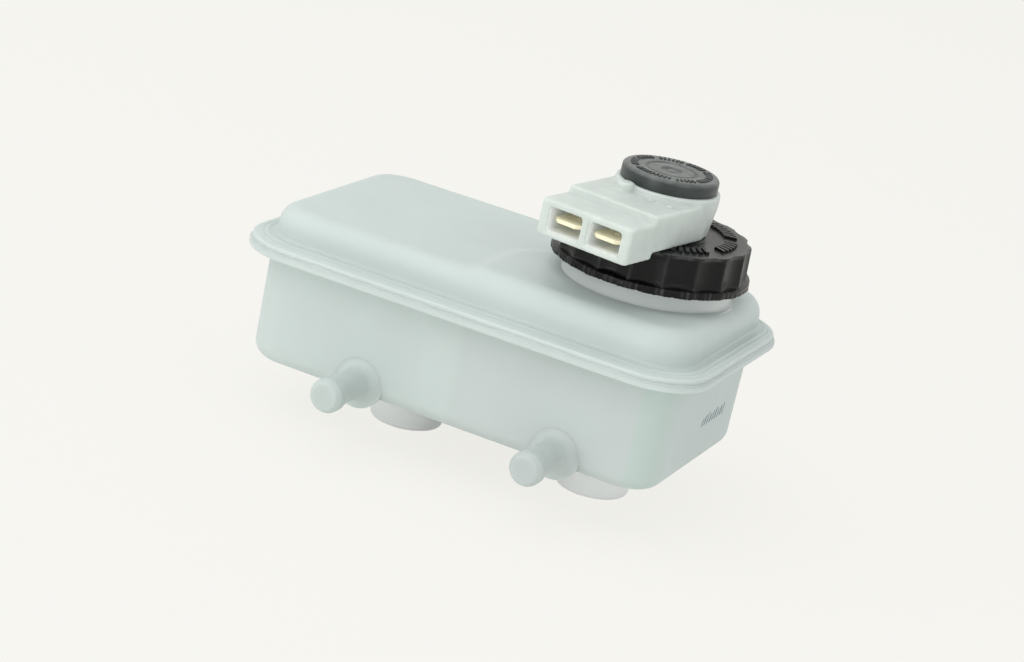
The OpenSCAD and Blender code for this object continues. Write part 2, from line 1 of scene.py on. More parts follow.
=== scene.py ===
# %% [markdown]
# # A brake fluid reservoir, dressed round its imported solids
# The real object is a tank welded from two mouldings of milky polypropylene. It has a black
# screw cap, and the cap clamps a float switch with a two-blade connector and a grey rubber
# test button. The solids already hold the sizes and the joints. This lesson gives them the
# skin: soft mould edges, a melted weld line, flutes, and plastics that each catch the light
# in their own way.

# %% Load the frame
import math

import bmesh
import bpy
import numpy as np
from mathutils import Matrix, Vector


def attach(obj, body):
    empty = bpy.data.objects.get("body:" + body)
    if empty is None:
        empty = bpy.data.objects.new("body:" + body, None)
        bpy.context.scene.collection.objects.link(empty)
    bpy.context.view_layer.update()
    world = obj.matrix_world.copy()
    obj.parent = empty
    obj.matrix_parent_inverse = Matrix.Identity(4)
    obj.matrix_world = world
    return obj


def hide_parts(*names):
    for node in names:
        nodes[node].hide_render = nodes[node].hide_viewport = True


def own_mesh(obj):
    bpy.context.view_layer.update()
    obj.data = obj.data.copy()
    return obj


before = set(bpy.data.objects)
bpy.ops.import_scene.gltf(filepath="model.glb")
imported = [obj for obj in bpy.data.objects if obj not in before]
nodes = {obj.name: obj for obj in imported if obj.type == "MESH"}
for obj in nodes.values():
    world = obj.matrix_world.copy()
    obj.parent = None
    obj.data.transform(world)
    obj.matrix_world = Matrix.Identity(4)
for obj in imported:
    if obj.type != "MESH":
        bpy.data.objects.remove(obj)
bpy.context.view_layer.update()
MM = 0.001

# %% [markdown]
# ## The camera
# The photograph looks down on the long front wall from its cap end, and it is tilted, so the
# tank seems to slide downhill. The angles and the distance were found by fitting its outline
# and edges. A fitted camera beats one set by eye.

# %% Camera
PICTURE_W = 1024
AZIMUTH, ELEVATION, ROLL = math.radians(21.06), math.radians(17.87), math.radians(12.40)
TARGET_MM = np.array([-25.77, 4.6, 24.27])
DISTANCE_MM = 544.8
FOCAL_PX = 2651.3
SENSOR_MM = 36.0


def aim_camera():
    """Stands DISTANCE_MM from the target along the two angles, then rolls round the view line."""
    back = np.array([
        math.sin(AZIMUTH) * math.cos(ELEVATION),
        -math.cos(AZIMUTH) * math.cos(ELEVATION),
        math.sin(ELEVATION),
    ])
    right = np.array([math.cos(AZIMUTH), math.sin(AZIMUTH), 0.0])
    up = np.cross(back, right)
    turned_right = math.cos(ROLL) * right + math.sin(ROLL) * up
    turned_up = -math.sin(ROLL) * right + math.cos(ROLL) * up
    data = bpy.data.cameras.new("camera")
    data.sensor_width = SENSOR_MM
    data.lens = FOCAL_PX / PICTURE_W * SENSOR_MM
    data.clip_start = 0.01
    camera = bpy.data.objects.new("camera", data)
    bpy.context.scene.collection.objects.link(camera)
    matrix = np.eye(4)
    matrix[:3, 0], matrix[:3, 1], matrix[:3, 2] = turned_right, turned_up, back
    matrix[:3, 3] = (TARGET_MM + DISTANCE_MM * back) * MM
    camera.matrix_world = Matrix(matrix.tolist())
    return camera


camera = aim_camera()
bpy.context.scene.camera = camera
print("lens in mm:", round(camera.data.lens, 1))

# %% [markdown]
# ## Light and floor
# A shop photograph on a near-white ground has one broad soft light and a lot of bounce. A
# bright world gives the bounce, and one large area light, high on the front left, gives the
# form. A small one low in front reaches the round outlets, and a weak one on the right lifts
# the end wall.
# The world and the floor show the page's own colour only to camera, glossy and transmission
# rays, so the ground can be pale without more light on the object.

# %% Colours from the page
def tone(red, green, blue):
    """A colour given on the 0-255 scale of a picture, as the linear colour of a shader."""
    scaled = np.array([red, green, blue]) / 255.0
    linear = np.where(scaled <= 0.04045, scaled / 12.92, ((scaled + 0.055) / 1.055) ** 2.4)
    return (*(float(v) for v in linear), 1.0)


PAGE, SKY, PAPER = tone(245, 244, 239), tone(248, 250, 252), tone(246, 245, 243)
WORLD_LIGHT = 0.82
FLOOR_PAGE_SHARE = 0.88


def seen_directly(tree):
    """A value of 1 for camera, glossy and transmission rays, and 0 for the rays that light."""
    path = tree.nodes.new("ShaderNodeLightPath")
    first = tree.nodes.new("ShaderNodeMath")
    first.operation = "MAXIMUM"
    tree.links.new(path.outputs["Is Camera Ray"], first.inputs[0])
    tree.links.new(path.outputs["Is Glossy Ray"], first.inputs[1])
    second = tree.nodes.new("ShaderNodeMath")
    second.operation = "MAXIMUM"
    tree.links.new(first.outputs[0], second.inputs[0])
    tree.links.new(path.outputs["Is Transmission Ray"], second.inputs[1])
    return second.outputs[0]


# %% World
def make_world():
    """An even grey-white world for light, and the page's colour where it is seen."""
    world = bpy.data.worlds.new("studio")
    bpy.context.scene.world = world
    world.use_nodes = True
    tree = world.node_tree
    tree.nodes.clear()
    lit = tree.nodes.new("ShaderNodeBackground")
    lit.inputs["Color"].default_value = SKY
    lit.inputs["Strength"].default_value = WORLD_LIGHT
    shown = tree.nodes.new("ShaderNodeBackground")
    shown.inputs["Color"].default_value = PAGE
    shown.inputs["Strength"].default_value = 1.0
    mix = tree.nodes.new("ShaderNodeMixShader")
    tree.links.new(seen_directly(tree), mix.inputs["Fac"])
    tree.links.new(lit.outputs[0], mix.inputs[1])
    tree.links.new(shown.outputs[0], mix.inputs[2])
    out = tree.nodes.new("ShaderNodeOutputWorld")
    tree.links.new(mix.outputs[0], out.inputs["Surface"])


make_world()


# %% Lamps
def area_light(name, place_mm, aim_mm, size_mm, watts, colour):
    """A square softbox at a place, turned to face its aim."""
    data = bpy.data.lights.new(name, "AREA")
    data.size = size_mm * MM
    data.energy = watts
    data.color = colour
    light = bpy.data.objects.new(name, data)
    bpy.context.scene.collection.objects.link(light)
    light.location = Vector(place_mm) * MM
    direction = (Vector(aim_mm) - Vector(place_mm)).normalized()
    light.rotation_euler = direction.to_track_quat("-Z", "Y").to_euler()


MIDDLE, BETWEEN_OUTLETS = (-26, 0, 30), (-20, 0, 5)
WARM_WHITE, PLAIN_WHITE = (1.0, 0.99, 0.98), (1.0, 1.0, 1.0)
LAMPS = {  # place, aim, size in mm, watts and colour
    "key_softbox": ((-290, -300, 700), MIDDLE, 900, 3.0, WARM_WHITE),
    "spigot_strip": ((-160, -600, 50), BETWEEN_OUTLETS, 160, 0.62, PLAIN_WHITE),
    "right_fill": ((420, -260, 180), MIDDLE, 200, 0.19, PLAIN_WHITE),
}
for name, lamp in LAMPS.items():
    area_light(name, *lamp)
print("lamps:", ", ".join(LAMPS))

# %% [markdown]
# ## The floor
# The part stands on its two outlets, and the soft shadow under them is what shows it. The
# floor is paper that mostly shows the page's colour, and only the rest of it takes a shadow.
# A pure white floor lit by more light would wash out the pale plastic.

# %% Floor
FLOOR_MM, FLOOR_Z = 3000, -0.03


def make_floor():
    """A flat square a hair under the outlets, so that no two faces share one plane."""
    mesh = bpy.data.meshes.new("floor")
    half = FLOOR_MM / 2 * MM
    corners = [(-half, -half), (half, -half), (half, half), (-half, half)]
    mesh.from_pydata([(x, y, FLOOR_Z * MM) for x, y in corners], [], [(0, 1, 2, 3)])
    floor = bpy.data.objects.new("floor", mesh)
    bpy.context.scene.collection.objects.link(floor)
    material = bpy.data.materials.new("floor_paper")
    material.use_nodes = True
    tree = material.node_tree
    tree.nodes.clear()
    paper = tree.nodes.new("ShaderNodeBsdfDiffuse")
    paper.inputs["Color"].default_value = PAPER
    page = tree.nodes.new("ShaderNodeEmission")
    page.inputs["Color"].default_value = PAGE
    share = tree.nodes.new("ShaderNodeMath")
    share.operation = "MULTIPLY"
    share.inputs[1].default_value = FLOOR_PAGE_SHARE
    tree.links.new(seen_directly(tree), share.inputs[0])
    mix = tree.nodes.new("ShaderNodeMixShader")
    tree.links.new(share.outputs[0], mix.inputs["Fac"])
    tree.links.new(paper.outputs[0], mix.inputs[1])
    tree.links.new(page.outputs[0], mix.inputs[2])
    out = tree.nodes.new("ShaderNodeOutputMaterial")
    tree.links.new(mix.outputs[0], out.inputs["Surface"])
    mesh.materials.append(material)


make_floor()
print("floor at z in mm:", FLOOR_Z)

# %% [markdown]
# ## Plastics, rubber and brass
# Each finish starts as one shader and gets what a mould or a press leaves on it: a slow
# mottle in the colour, a change of gloss, and a fine grain as a bump. All three read Object
# coordinates, so they stay put when a piece moves. The tank's plastic also lets light in,
# which subsurface scattering gives far more cheaply than real transmission.

# %% One finish
MOTTLE_FROM, MOTTLE_TO = 0.3, 0.7


def finish(name, colour, roughness, mottle=0.04, mottle_size=9.0, grain=0.02, grain_size=0.35,
           metallic=0.0, scatter=0.0, scatter_mm=2.0, gloss_spread=0.06, specular=0.5):
    """A principled shader whose colour, roughness and bump each follow a noise in object space."""
    material = bpy.data.materials.new(name)
    material.use_nodes = True
    tree = material.node_tree
    shader = tree.nodes["Principled BSDF"]
    place = tree.nodes.new("ShaderNodeTexCoord").outputs["Object"]

    def noise(size_mm, detail):
        node = tree.nodes.new("ShaderNodeTexNoise")
        node.inputs["Scale"].default_value = 1.0 / (size_mm * MM)
        node.inputs["Detail"].default_value = detail
        tree.links.new(place, node.inputs["Vector"])
        return node.outputs["Fac"]

    ramp = tree.nodes.new("ShaderNodeValToRGB")
    dark, pale = ramp.color_ramp.elements
    dark.position, pale.position = MOTTLE_FROM, MOTTLE_TO
    dark.color = (*(c * (1 - mottle) for c in colour[:3]), 1.0)
    pale.color = (*(min(c * (1 + mottle), 1.0) for c in colour[:3]), 1.0)
    tree.links.new(noise(mottle_size, 3.0), ramp.inputs["Fac"])
    tree.links.new(ramp.outputs["Color"], shader.inputs["Base Color"])
    spread = tree.nodes.new("ShaderNodeMapRange")
    spread.inputs["To Min"].default_value = max(roughness - gloss_spread, 0.02)
    spread.inputs["To Max"].default_value = min(roughness + gloss_spread, 1.0)
    tree.links.new(noise(mottle_size / 3, 4.0), spread.inputs["Value"])
    tree.links.new(spread.outputs["Result"], shader.inputs["Roughness"])
    bump = tree.nodes.new("ShaderNodeBump")
    bump.inputs["Strength"].default_value = 1.0
    bump.inputs["Distance"].default_value = grain * MM
    tree.links.new(noise(grain_size, 4.0), bump.inputs["Height"])
    tree.links.new(bump.outputs["Normal"], shader.inputs["Normal"])
    shader.inputs["Metallic"].default_value = metallic
    shader.inputs["Specular IOR Level"].default_value = specular
    if scatter:
        shader.inputs["Subsurface Weight"].default_value = scatter
        shader.inputs["Subsurface Radius"].default_value = (1.0, 1.0, 0.9)
        shader.inputs["Subsurface Scale"].default_value = scatter_mm * MM
    return material


# %% The finishes
milky = finish("milky_polypropylene", tone(194, 204, 200), 0.46, mottle=0.018, mottle_size=14,
               grain=0.006, grain_size=0.5, scatter=0.35, scatter_mm=2.5, specular=0.35)
# Painted light: the neck's plastic is paler than the tank's, partly for its thicker wall.
neck_painted_light = finish("neck_polypropylene_painted_light", tone(205, 210, 207), 0.4, mottle=0.015, mottle_size=10,
                    grain=0.006, scatter=0.3, scatter_mm=2.0, specular=0.4)
# Painted light: a near-white plastic, brighter than the tank that the outlets are moulded with.
spigot_painted_light = finish("spigot_polypropylene_painted_light", tone(250, 253, 249), 0.35, mottle=0.01, mottle_size=8,
                      grain=0.004, scatter=0.5, scatter_mm=3.0, specular=1.0)
natural = finish("natural_nylon", tone(198, 206, 200), 0.42, mottle=0.045, mottle_size=3.2,
                 grain=0.04, grain_size=1.4, scatter=0.5, scatter_mm=2.5)
# Painted light: a near-white plastic for the sockets' inner faces, lit through thin walls.
socket_painted_light = finish("socket_nylon_painted_light", tone(248, 253, 255), 0.5, mottle=0.02, mottle_size=3)
black = finish("black_nylon", tone(10, 11, 11), 0.3, mottle=0.3, mottle_size=1.6, grain=0.02,
               grain_size=0.25, gloss_spread=0.1, specular=0.2)
grey_rubber = finish("grey_rubber", tone(24, 35, 34), 0.4, mottle=0.08, mottle_size=3, grain=0.012,
                     grain_size=0.2, specular=0.65)
black_rubber = finish("seal_rubber", tone(30, 30, 30), 0.7, mottle=0.1, mottle_size=2)
# Painted light: the brass is paler than its own tan, to make up for the shade in the sockets.
brass_painted_light = finish("blade_brass", tone(250, 241, 206), 0.42, mottle=0.03, mottle_size=2.5, grain=0.004,
               grain_size=0.12, metallic=0.15, gloss_spread=0.1)
steel = finish("rod_steel", tone(190, 190, 192), 0.32, mottle=0.05, mottle_size=1.5, metallic=1.0)
foam = finish("float_foam", tone(203, 184, 126), 0.7, mottle=0.08, mottle_size=1.2, grain=0.08,
              grain_size=0.5)
print("materials so far:", len(bpy.data.materials))

# %% [markdown]
# ## Painted shade through the wall
# The tank's inner walls show through as slow changes of tone, painted here as shade in the
# colour: the chamber under the cap is a little darker, and the rounded corner and the nipples
# get painted shade too. Painting them by x, y and z keeps one shader for the whole moulding,
# and it costs no transparent layers.

# %% Painted shade on the tank's plastic
CHAMBER_X, CORNER_X, ALONG_ALL_X = (-24.0, 14.5), (14.5, 19.4), (-100, 100)
CHAMBER_SOFT, CORNER_SOFT, ALL_SOFT = (1.4, 0.3), (0.3, 1.2), (1, 1)
FRONT_Y, NIPPLE_Y = (-14.0, -22.0), (-25.5, -31.0)
CHAMBER_Z, CHAMBER_Z_SOFT = 33.6, 0.3
CHAMBER_PAINTED_SHADE, CORNER_PAINTED_SHADE = (0.97, 0.95, 0.955, 1.0), (0.92, 0.965, 0.94, 1.0)
NIPPLE_PAINTED_SHADE = (0.9, 0.9, 0.9, 1.0)


def ramp_along(tree, value, low, high):
    """A smooth climb from 0 to 1 while a coordinate goes from low to high, in mm."""
    node = tree.nodes.new("ShaderNodeMapRange")
    node.interpolation_type = "SMOOTHSTEP"
    node.inputs["From Min"].default_value = low * MM
    node.inputs["From Max"].default_value = high * MM
    tree.links.new(value, node.inputs["Value"])
    return node.outputs["Result"]


def paint_shade_block(material, x_edges, x_soft, y_edges, painted_shade):
    """Multiplies a finish by a painted shade between two x values, past y_edges, below the flange.
    """
    tree = material.node_tree
    shader = tree.nodes["Principled BSDF"]
    plain = shader.inputs["Base Color"].links[0].from_socket
    split = tree.nodes.new("ShaderNodeSeparateXYZ")
    tree.links.new(tree.nodes["Texture Coordinate"].outputs["Object"], split.inputs[0])
    (left, right), (left_soft, right_soft) = x_edges, x_soft
    share = ramp_along(tree, split.outputs["X"], left - left_soft, left + left_soft)
    for axis, low, high in (("X", right + right_soft, right - right_soft), ("Y", *y_edges),
                            ("Z", CHAMBER_Z + CHAMBER_Z_SOFT, CHAMBER_Z - CHAMBER_Z_SOFT)):
        both = tree.nodes.new("ShaderNodeMath")
        both.operation = "MULTIPLY"
        tree.links.new(share, both.inputs[0])
        tree.links.new(ramp_along(tree, split.outputs[axis], low, high), both.inputs[1])
        share = both.outputs[0]
    mix = tree.nodes.new("ShaderNodeMix")
    mix.data_type, mix.blend_type = "RGBA", "MULTIPLY"
    tree.links.new(share, mix.inputs["Factor"])
    tree.links.new(plain, mix.inputs["A"])
    mix.inputs["B"].default_value = painted_shade
    tree.links.new(mix.outputs["Result"], shader.inputs["Base Color"])


# Painted shade: a darker colour on the chamber, the rounded corner and the nipples.
paint_shade_block(milky, CHAMBER_X, CHAMBER_SOFT, FRONT_Y, CHAMBER_PAINTED_SHADE)
paint_shade_block(milky, CORNER_X, CORNER_SOFT, FRONT_Y, CORNER_PAINTED_SHADE)
paint_shade_block(milky, ALONG_ALL_X, ALL_SOFT, NIPPLE_Y, NIPPLE_PAINTED_SHADE)
print("tints on the tank's plastic: 3")

# %% [markdown]
# ## Solids that keep their shape
# The switch's inner pieces and the strainer are turned or pressed parts that the solids
# already show truly, and they stay hidden inside. They only get a better finish.

# %% Materials for the solids that stay as they are
KEPT_SOLIDS = {
    "filler_strainer": neck_painted_light, "cap_seal": black_rubber, "switch_base": natural,
    "rivet_left": brass_painted_light, "rivet_right": brass_painted_light, "drum_lid": natural, "test_plunger": natural,
    "contact_bridge": brass_painted_light, "bridge_clip": steel,
    "float_rod": steel, "float_clip_upper": steel, "float": foam, "float_clip_lower": steel,
}
for name, material in KEPT_SOLIDS.items():
    nodes[name].data.materials.clear()
    nodes[name].data.materials.append(material)
print("solids that keep their shape:", len(KEPT_SOLIDS))

# %% [markdown]
# ## Tools for surfaces
# Every new piece is a grid of points worked out with whole arrays. A profile is a short list
# of corners, each with the radius a mould would give it, and soften turns it into a line
# with those roundings. A grid made by hand in edit mode could not be changed later by one
# number.

# %% Rounded profiles
def soften(corners, steps=6, reach=None, closed=False):
    """Rounds each corner (a, b, radius) by an arc that touches both of its sides.

    The arc starts radius / tan(half angle) from the corner. With reach, no two points of
    the line are further apart than reach.
    """
    count = len(corners)
    line = []
    for i, (a, b, radius) in enumerate(corners):
        here = np.array([a, b], float)
        ends = i in (0, count - 1) and not closed
        if ends or radius <= 0:
            line.append(here)
            continue
        before = np.array(corners[i - 1][:2], float) - here
        after = np.array(corners[(i + 1) % count][:2], float) - here
        before, after = before / np.linalg.norm(before), after / np.linalg.norm(after)
        half = math.acos(np.clip(before @ after, -1, 1)) / 2
        middle = (before + after) / np.linalg.norm(before + after)
        centre = here + middle * radius / math.sin(half)
        start = here + before * radius / math.tan(half)
        end = here + after * radius / math.tan(half)
        first, last = start - centre, end - centre
        sweep = math.atan2(first[0] * last[1] - first[1] * last[0], first @ last)
        turns = np.linspace(0, sweep, steps + 1)
        line.extend(np.stack([
            centre[0] + first[0] * np.cos(turns) - first[1] * np.sin(turns),
            centre[1] + first[0] * np.sin(turns) + first[1] * np.cos(turns),
        ], 1))
    points = np.array(line)
    if reach is None:
        return points
    if closed:
        points = np.vstack([points, points[:1]])
    steps_along = np.diff(points, axis=0)
    spans = np.maximum(np.ceil(np.linalg.norm(steps_along, axis=1) / reach), 1).astype(int)
    pieces = [
        points[i] + np.outer(np.arange(n) / n, steps_along[i]) for i, n in enumerate(spans)
    ]
    return np.vstack(pieces + ([] if closed else [points[-1:]]))


# %% Grids
WELD_POINTS_MM = 0.002


def grid_faces(rows, columns, wrap_rows, wrap_columns):
    """Each face joins a point to its neighbours in the next row and the next column."""
    r = np.arange(rows if wrap_rows else rows - 1)
    c = np.arange(columns if wrap_columns else columns - 1)
    r, c = np.meshgrid(r, c, indexing="ij")
    next_r, next_c = (r + 1) % rows, (c + 1) % columns
    return np.stack([
        r * columns + c, r * columns + next_c, next_r * columns + next_c, next_r * columns + c,
    ], -1).reshape(-1, 4)


def piece_from(name, sheets, material, sharp_deg=40):
    """Joins grids (points in mm, wrap rows, wrap columns) in one mesh with faces outwards."""
    points, faces, start = [], [], 0
    for grid, wrap_rows, wrap_columns in sheets:
        rows, columns = grid.shape[:2]
        points.append(grid.reshape(-1, 3))
        faces.append(grid_faces(rows, columns, wrap_rows, wrap_columns) + start)
        start += rows * columns
    mesh = bpy.data.meshes.new(name)
    mesh.from_pydata((np.vstack(points) * MM).tolist(), [], np.vstack(faces).tolist())
    bm = bmesh.new()
    bm.from_mesh(mesh)
    bmesh.ops.remove_doubles(bm, verts=bm.verts, dist=WELD_POINTS_MM * MM)
    bmesh.ops.recalc_face_normals(bm, faces=bm.faces)
    bm.to_mesh(mesh)
    bm.free()
    return place_piece(name, mesh, material, sharp_deg)


def place_piece(name, mesh, material, sharp_deg=40):
    """Shades a mesh smooth up to an angle and puts it at the origin with its material."""
    mesh.shade_smooth()
    mesh.set_sharp_from_angle(angle=math.radians(sharp_deg))
    mesh.materials.clear()
    mesh.materials.append(material)
    piece = bpy.data.objects.new(name, mesh)
    bpy.context.scene.collection.objects.link(piece)
    return piece


def turn_profile(profile, centre, steps=128):
    """Carries (radius, height) points round an upright axis: x = r cos t, y = r sin t."""
    turns = np.linspace(0, 2 * math.pi, steps, endpoint=False)
    radius, height = profile[:, :1], profile[:, 1:2]
    return np.stack([
        centre[0] + radius * np.cos(turns),
        centre[1] + radius * np.sin(turns),
        np.broadcast_to(height, (len(profile), steps)),
    ], -1)


# %% Cuts and modifiers
def keep_modifiers(piece):
    """Makes what a piece's modifiers show its own mesh."""
    bpy.context.view_layer.update()
    graph = bpy.context.evaluated_depsgraph_get()
    mesh = bpy.data.meshes.new_from_object(piece.evaluated_get(graph))
    piece.modifiers.clear()
    piece.data = mesh
    return mesh


def pierce(piece, cutters):
    """Cuts closed shapes out of a piece and keeps the result as its mesh."""
    for cutter in cutters:
        modifier = piece.modifiers.new("hole", "BOOLEAN")
        modifier.operation = "DIFFERENCE"
        modifier.solver = "EXACT"
        modifier.object = cutter
    keep_modifiers(piece)
    for cutter in cutters:
        bpy.data.objects.remove(cutter)


def dress(piece, body, slot, *replaced):
    """Says which body a piece rides on and which solids it stands for; the slot is not used."""
    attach(piece, body)
    if replaced:
        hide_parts(*replaced)
    print(f"{piece.name}: {len(piece.data.polygons)} faces on {body}")


# %% [markdown]
# ## The tank's loops
# Both halves of the tank are rounded rectangles, but the upper one is a little longer and
# stands further back than the lower one, so the ledge in front is wide and the one behind is
# narrow. One function makes the loop for a row of offset, height and form, and form 0 to 1
# goes from the lower rectangle to the upper one. Scaling one loop would be simpler, but the
# corners would then lose their radius.

# %% Sizes shared with the solids
# length, width, corner radius and centre of each half
LOWER_FORM = np.array([91.3, 51.0, 8.0, -25.65, 0.0])
UPPER_FORM = np.array([92.3, 51.8, 8.8, -26.15, 2.6])
WALL, DRAFT = 2.0, 0.2
UNDERSIDE_Z, FLANGE_Z, SEAM_Z = 10.7, 33.8, 35.1
UPPER_FLANGE_Z, TOP_Z, PLATFORM_RISE, RIM_Z = 36.42, 42.62, 0.8, 50.82
OVERHANG, FLANGE_STEP = 4.8, 0.5
END_X = 20.0
CAP_AXIS = (0.0, 4.3)
FAR_X = -43.1
CORNER_POINTS, LONG_POINTS, SHORT_POINTS = 13, 110, 44
HALVES_GAP = 0.02


# %% Loops of the tank
def tank_loops(profile, form=0.0):
    """Rounded rectangles for (offset, height) rows; form mixes the two halves' sizes."""
    offset, height = profile[:, 0], profile[:, 1]
    share = np.broadcast_to(np.asarray(form, float), offset.shape)[:, None]
    length, width, corner, middle_x, middle_y = ((1 - share) * LOWER_FORM + share * UPPER_FORM).T
    half_l, half_w = length / 2 + offset, width / 2 + offset
    radius = np.maximum(corner + offset, 0.0)
    parts = []
    for k, (sx, sy) in enumerate([(1, 1), (-1, 1), (-1, -1), (1, -1)]):
        turns = np.linspace(k, k + 1, CORNER_POINTS) * math.pi / 2
        x = (middle_x + sx * (half_l - radius))[:, None] + radius[:, None] * np.cos(turns)
        y = (middle_y + sy * (half_w - radius))[:, None] + radius[:, None] * np.sin(turns)
        parts.append(np.stack([x, y], -1))
    around = []
    for k in range(4):
        count = LONG_POINTS if k % 2 == 0 else SHORT_POINTS
        along = np.arange(1, count) / count
        start, end = parts[k][:, -1:], parts[(k + 1) % 4][:, :1]
        around += [parts[k], start + along[None, :, None] * (end - start)]
    flat = np.concatenate(around, 1)
    return np.concatenate([flat, np.broadcast_to(height[:, None, None], (*flat.shape[:2], 1))], -1)


def round_bar(radius, centre, low, high):
    """A closed cylinder, for cutting."""
    profile = np.array([[0, low], [radius, low], [radius, high], [0, high]], float)
    return piece_from("cutter", [(turn_profile(profile, centre, 96), False, True)], milky)


# %% [markdown]
# ## The lower half
# The moulding is an open box with leaning walls, a generous edge below and a flange above.
# Where the mould parts meet, real corners are never sharp, so even the flange gets a small
# radius. The outlets' two bores are cut right through the floor.

# %% Lower half
FLANGE_EDGE_R, FOOT_R, BOTTOM_R = 0.4, 0.7, 3.4
HALF_W = LOWER_FORM[1] / 2
lower_profile = soften([
    (-HALF_W, UNDERSIDE_Z, 0), (-DRAFT, UNDERSIDE_Z, BOTTOM_R), (0, FLANGE_Z, FOOT_R),
    (OVERHANG, FLANGE_Z, FLANGE_EDGE_R), (OVERHANG, SEAM_Z, 0.25),
    (-WALL, SEAM_Z, 0.3), (-WALL - DRAFT, UNDERSIDE_Z + WALL, BOTTOM_R - WALL / 2),
    (-HALF_W, UNDERSIDE_Z + WALL, 0),
], steps=8, reach=2.5)
lower_shell = piece_from("lower_shell", [(tank_loops(lower_profile), False, True)], milky)
SPIGOT_BORE_R, BORE_SPARE, CUT_PAST = 5.4, 0.02, 2
pierce(lower_shell, [
    round_bar(SPIGOT_BORE_R + BORE_SPARE, (x, 0), UNDERSIDE_Z - CUT_PAST, UNDERSIDE_Z + 2 * WALL)
    for x in (0, FAR_X)
])
dress(lower_shell, "tank", "tank_plastic", "lower_tank")

# %% [markdown]
# ## The upper half
# It is a shallow lid with a large soft edge. Its cap end is raised by less than a
# millimetre, and the step runs out in an arc at the front. A separate slab would leave a
# hard line, so the step is a smooth lift added to the height of every point inside it.

# %% The raised cap end
PLATFORM_X, PLATFORM_Y, PLATFORM_R, STEP_HALF = -26.5, 7.3, 12.0, 2.2
LIFT_FROM_Z = 38.0


def platform_lift(grid):
    """Raises points inside a rounded quadrant: distance to its edge, eased from 0 to 1."""
    inside_x, inside_y = grid[..., 0] - PLATFORM_X, PLATFORM_Y - grid[..., 1]
    corner = PLATFORM_R - np.hypot(PLATFORM_R - inside_x, PLATFORM_R - inside_y)
    near_corner = (inside_x < PLATFORM_R) & (inside_y < PLATFORM_R)
    depth = np.where(near_corner, corner, np.minimum(inside_x, inside_y))
    share = np.clip((depth + STEP_HALF) / (2 * STEP_HALF), 0, 1)
    ease = share * share * (3 - 2 * share)
    climb = np.clip((grid[..., 2] - LIFT_FROM_Z) / (TOP_Z - LIFT_FROM_Z), 0, 1)
    raised = grid.copy()
    raised[..., 2] += PLATFORM_RISE * ease * climb
    return raised


# %% The upper half's profile
UPPER_EDGE_R, UPPER_LEAN, UPPER_FOOT_R, FLANGE_RIM = 4.0, 0.3, 0.55, 0.6
EDGE_OUT = OVERHANG - FLANGE_STEP
UPPER_HALF_W, UPPER_SEAM_Z = UPPER_FORM[1] / 2, SEAM_Z + HALVES_GAP
lid_outside = soften([
    (-UPPER_HALF_W, TOP_Z, 0), (-UPPER_LEAN, TOP_Z, UPPER_EDGE_R),
    (0, UPPER_FLANGE_Z, UPPER_FOOT_R), (FLANGE_RIM, UPPER_FLANGE_Z, 0),
], steps=9, reach=0.8)
flange_outside = soften([
    (EDGE_OUT - FLANGE_RIM, UPPER_FLANGE_Z, 0), (EDGE_OUT, UPPER_FLANGE_Z, FLANGE_EDGE_R),
    (EDGE_OUT, UPPER_SEAM_Z, 0.2), (EDGE_OUT - FLANGE_RIM, UPPER_SEAM_Z, 0),
], steps=6)
lid_inside = soften([
    (0, UPPER_SEAM_Z, 0), (-WALL, UPPER_SEAM_Z, 0.3),
    (-WALL - UPPER_LEAN, TOP_Z - WALL, UPPER_EDGE_R - WALL), (-UPPER_HALF_W, TOP_Z - WALL, 0),
], steps=9, reach=0.8)

# %% [markdown]
# ## Flow lines and the upper half
# Two fine lines run round the flange, where the plastic's flow met while the part was
# moulded. They are three rows each of the same profile, so they follow the flange without
# any separate piece. The rest of the profile then goes round the tank in one grid.

# %% Upper half
LINE_SHARES, LINE_HALF_SHARE, RIDGE_H = [0.36, 0.72], 0.05, 0.1
along = np.repeat(LINE_SHARES, 3) + np.tile([-LINE_HALF_SHARE, 0, LINE_HALF_SHARE], 2)
ridge_lines = np.stack([
    FLANGE_RIM + (EDGE_OUT - 2 * FLANGE_RIM) * along, UPPER_FLANGE_Z + np.tile([0, RIDGE_H, 0], 2),
], 1)
upper_profile = np.vstack([lid_outside, ridge_lines, flange_outside, lid_inside])
forms = np.concatenate([
    np.ones(len(lid_outside)), 1 - along, np.zeros(len(flange_outside)), np.ones(len(lid_inside)),
])
upper_grid = platform_lift(tank_loops(upper_profile, forms))
upper_shell = piece_from("upper_shell", [(upper_grid, False, True)], milky)
NECK_BORE_R, NECK_R, NECK_CUT = 14.6, 17.0, 4
pierce(upper_shell, [round_bar(NECK_BORE_R, CAP_AXIS, TOP_Z - NECK_CUT, TOP_Z + NECK_CUT)])
dress(upper_shell, "tank", "tank_plastic", "upper_tank")

# %% [markdown]
# ## The filler neck
# The neck is turned, with a soft foot on the raised part and a seat inside its rim for the
# strainer. It is a piece of its own with a whiter plastic than the tank: partly real, as its
# wall is thicker, and partly painted light for a wall that is lit from all sides. Its foot
# is sunk in the lid, so no gap shows.

